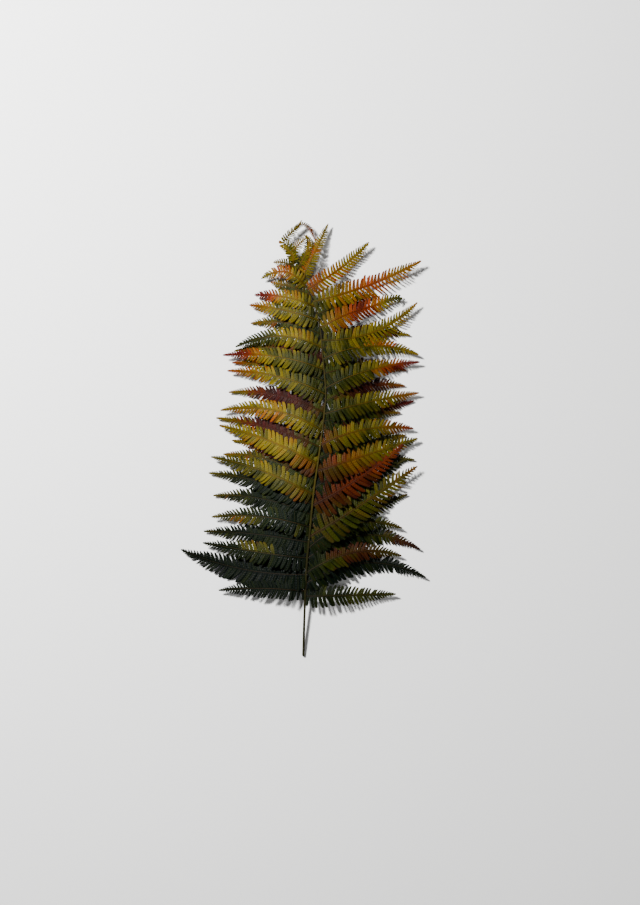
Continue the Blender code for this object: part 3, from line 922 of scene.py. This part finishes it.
def lobe_copy(leaflet, rib, side, sign, share, pitch, chance):
    """One lobe of the upper (1) or the lower row (-1), with its place, size and colours."""
    offset = ROW_OFFSET * pitch / rib.length if sign > 0 else 0.0
    stretch = special(STRETCHED, leaflet, side, sign, share)
    reach = leaflet.lobe * lobe_length(leaflet, share) * (SHORT_ROW if sign > 0 else LONG_ROW)
    wide = np.interp(leaflet.over, LAYERS, LAYER_WIDTHS)
    if not leaflet.over:
        wide = np.interp(share, FREE_LOBES, [wide, FREE_WIDTH])
    width = pitch * (1.0 - NARROWING * stretch) * wide
    spots = lobe_points(rib, min(share + offset, LAST_PLACE), width, reach * (1.0 + stretch), sign, chance)
    spread = TURN_SPREAD if leaflet.over else UNDER_SPREAD
    extra = spread * chance.normal() + special(ACCENTS, leaflet, side, sign, share)
    flush = FLUSH + FLUSH_SPREAD * chance.normal()
    shade = LOBE_SHADE * abs(chance.normal())
    shares = np.full(len(spots), share)
    return Copy(lobe_pattern, spots, colours_at(leaflet, side, shares, spots[:, 1], extra, flush, shade))


def grow(name, leaflet, side, chance):
    """One leaflet, as a mesh of its own, on the left (-1) or right side (1) of the midrib."""
    rib = rib_table(leaflet, side)
    spots = rod_points(rib)
    copies = [Copy(rod_pattern, spots, colours_at(leaflet, side, rod_pattern.points[:, 2], spots[:, 1]))]
    spots = web_points(leaflet, rib)
    copies.append(Copy(web_pattern, spots, colours_at(leaflet, side, web_pattern.points[:, 1], spots[:, 1])))
    for share, pitch in lobe_places(leaflet, rib):
        copies += [lobe_copy(leaflet, rib, side, sign, share, pitch, chance) for sign in (1, -1)]
    spots = tail_points(leaflet, rib)
    shares = np.ones(len(spots))
    copies.append(Copy(lobe_pattern, spots,
                       colours_at(leaflet, side, shares, spots[:, 1], TAIL_TURN, TAIL_FLUSH)))
    data = mesh_from(name, copies)
    for material in (leaf_face, leaf_under, rib_material):
        data.materials.append(material)
    piece = bpy.data.objects.new(name, data)
    bpy.context.collection.objects.link(piece)
    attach(piece, "root")
    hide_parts("fern_frond")
    return piece


SEED = 7
chance = np.random.default_rng(SEED)
pieces = [grow(f"leaflet_left_{n:02d}", row, -1, chance) for n, row in enumerate(LEFT, 1)]
pieces += [grow(f"leaflet_right_{n:02d}", row, 1, chance) for n, row in enumerate(RIGHT, 1)]
pieces += [grow(f"leaflet_crown_{n}", row, 1, chance) for n, row in enumerate(CROWN, 1)]
pieces.append(grow("leaflet_hooked", HOOKED, 1, chance))
pairs = sum(len(lobe_places(row, rib_table(row, side)))
            for side, table in ((-1, LEFT), (1, RIGHT), (1, CROWN), (1, [HOOKED])) for row in table)
print("lobes:", 2 * pairs)
print("leaflets:", len(pieces), "triangles:",
      sum(sum(len(face.vertices) - 2 for face in piece.data.polygons) for piece in pieces))

# %% [markdown]
# Stalk and midrib
#
# The stalk and the midrib are one tapering rod with a groove along its upper side. A curve through the
# middle carries a grooved outline as its bevel, and each point of the curve has its own radius. The curve's
# twist is kept upright, so that the groove stays on top, and it is then made a mesh.

# %% Sweep the midrib
GROOVE = 0.38            # depth, as a share of the radius
GROOVE_WIDTH = math.radians(24.0)
OUTLINE_POINTS = 20
MIDRIB_STEP = 7.0


def outline_radius(angle):
    """The stalk's outline: round, with a groove at the top."""
    return 1.0 - GROOVE * math.exp(-((angle - math.pi / 2) / GROOVE_WIDTH) ** 2)


def straight_line(name, spots):
    """A curve of straight runs through (x, y, z, radius) points."""
    curve = bpy.data.curves.new(name, "CURVE")
    curve.dimensions = "3D"
    line = curve.splines.new("POLY")
    line.points.add(len(spots) - 1)
    for point, spot in zip(line.points, spots):
        point.co = (*spot[:3], 1.0)
        point.radius = spot[3]
    return curve


angles = [2 * math.pi * k / OUTLINE_POINTS for k in range(OUTLINE_POINTS)]
outline_curve = straight_line("stalk_outline", [
    (math.cos(a) * outline_radius(a) * MM, math.sin(a) * outline_radius(a) * MM, 0.0, 1.0) for a in angles])
outline_curve.splines[0].use_cyclic_u = True
outline = bpy.data.objects.new("stalk_outline", outline_curve)
bpy.context.collection.objects.link(outline)

stations = np.append(np.arange(0.0, MIDRIB_END, MIDRIB_STEP), MIDRIB_END)
path = straight_line("midrib_path", [
    ((smooth(SWAY, y) - CENTRE[0]) * MM, (y - CENTRE[1]) * MM, midrib_height(y) * MM, midrib_radius(y))
    for y in stations])
path.twist_mode = "Z_UP"
path.bevel_mode = "OBJECT"
path.bevel_object = outline
path.use_fill_caps = True
deselect_all()
midrib = bpy.data.objects.new("midrib", path)
bpy.context.collection.objects.link(midrib)
bpy.context.view_layer.objects.active = midrib
midrib.select_set(True)
bpy.ops.object.convert(target="MESH")
midrib = bpy.context.active_object
bpy.data.objects.remove(outline)
print("midrib faces:", len(midrib.data.polygons), "size mm:", [round(v / MM, 1) for v in midrib.dimensions])

# %% Finish the midrib
# Turn and darkening of the stalk and midrib, at heights on the frond; the darkening is heaviest at the foot.
MIDRIB_TURN = ([0, 150, 260, 330, 420, 540, 634], [.34, .32, .44, .48, .42, .40, .44])
MIDRIB_DARKENING = ([0, 170, 215, 340, 400, 634], [.80, .74, .66, .62, .68, .58])
WELD = 1e-6
CREASE = math.radians(50)

deselect_all()
midrib.select_set(True)
bpy.context.view_layer.objects.active = midrib
bpy.ops.object.mode_set(mode="EDIT")
bpy.ops.mesh.select_all(action="SELECT")
bpy.ops.mesh.remove_doubles(threshold=WELD)
bpy.ops.mesh.normals_make_consistent(inside=False)
bpy.ops.object.mode_set(mode="OBJECT")
bpy.ops.object.shade_smooth_by_angle(angle=CREASE)
midrib_y = np.array([v.co.y for v in midrib.data.vertices]) / MM + CENTRE[1]
give_attribute(midrib.data, "turn", np.interp(midrib_y, *MIDRIB_TURN))
give_attribute(midrib.data, "depth", np.interp(midrib_y, *MIDRIB_DARKENING))
midrib.data.materials.clear()
midrib.data.materials.append(stalk_material)
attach(midrib, "root")
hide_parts("fern_frond")

# %% [markdown]
# Floor, light and camera
#
# The frond lies on a pale floor. A soft lamp stands at its upper left, as in the photo, where the leaflets
# at the upper left are the brightest and the foot is dark. A weaker and larger one fills the shadows. The
# camera looks straight down, because that shows the frond's face just as the photo does, and the lens is
# chosen so that one millimetre covers as many pixels as there.

# %% Floor and lights
FLOOR_SIZE = 12.0
FLOOR_COLOUR = (0.88, 0.88, 0.87, 1.0)
FLOOR_ROUGHNESS = 0.9
WHITE = (1.0, 1.0, 1.0, 1.0)
DAYLIGHT = 0.08

deselect_all()
bpy.ops.mesh.primitive_plane_add(size=FLOOR_SIZE, location=(0, 0, 0))
floor = bpy.context.active_object
floor.name = "floor"
floor_material = bpy.data.materials.new("pale floor")
floor_material.use_nodes = True
floor_shader = floor_material.node_tree.nodes["Principled BSDF"]
feed(floor_material.node_tree, floor_shader, {"Base Color": FLOOR_COLOUR, "Roughness": FLOOR_ROUGHNESS})
floor.data.materials.append(floor_material)


def soft_lamp(name, place, size, power):
    """A round lamp that shines on the middle of the frond."""
    lamp_data = bpy.data.lights.new(name, "AREA")
    lamp_data.shape = "DISK"
    lamp_data.size = size
    lamp_data.energy = power
    lamp = bpy.data.objects.new(name, lamp_data)
    lamp.location = place
    lamp.rotation_euler = (-Vector(place)).to_track_quat("-Z", "Y").to_euler()
    bpy.context.collection.objects.link(lamp)


soft_lamp("key lamp", place=(-1.45, 1.3, 1.6), size=0.42, power=264.0)
soft_lamp("fill lamp", place=(1.6, -0.9, 2.2), size=2.0, power=14.0)
world = bpy.data.worlds.new("studio")
world.use_nodes = True
feed(world.node_tree, world.node_tree.nodes["Background"], {"Color": WHITE, "Strength": DAYLIGHT})
bpy.context.scene.world = world

# %% Camera
PHOTO_HEIGHT = 905          # in pixels
MM_PER_PIXEL = 1.6
LOOK_AT = (26.3, -22.7)     # the middle of the picture, in millimetres from the frond's middle
CAMERA_HEIGHT = 2.6         # in metres
camera_data = bpy.data.cameras.new("camera")
camera_data.lens = camera_data.sensor_width * CAMERA_HEIGHT / (PHOTO_HEIGHT * MM_PER_PIXEL * MM)
camera = bpy.data.objects.new("camera", camera_data)
camera.location = (LOOK_AT[0] * MM, LOOK_AT[1] * MM, CAMERA_HEIGHT)
bpy.context.collection.objects.link(camera)
bpy.context.scene.camera = camera
print("lens, mm:", round(camera_data.lens, 1))
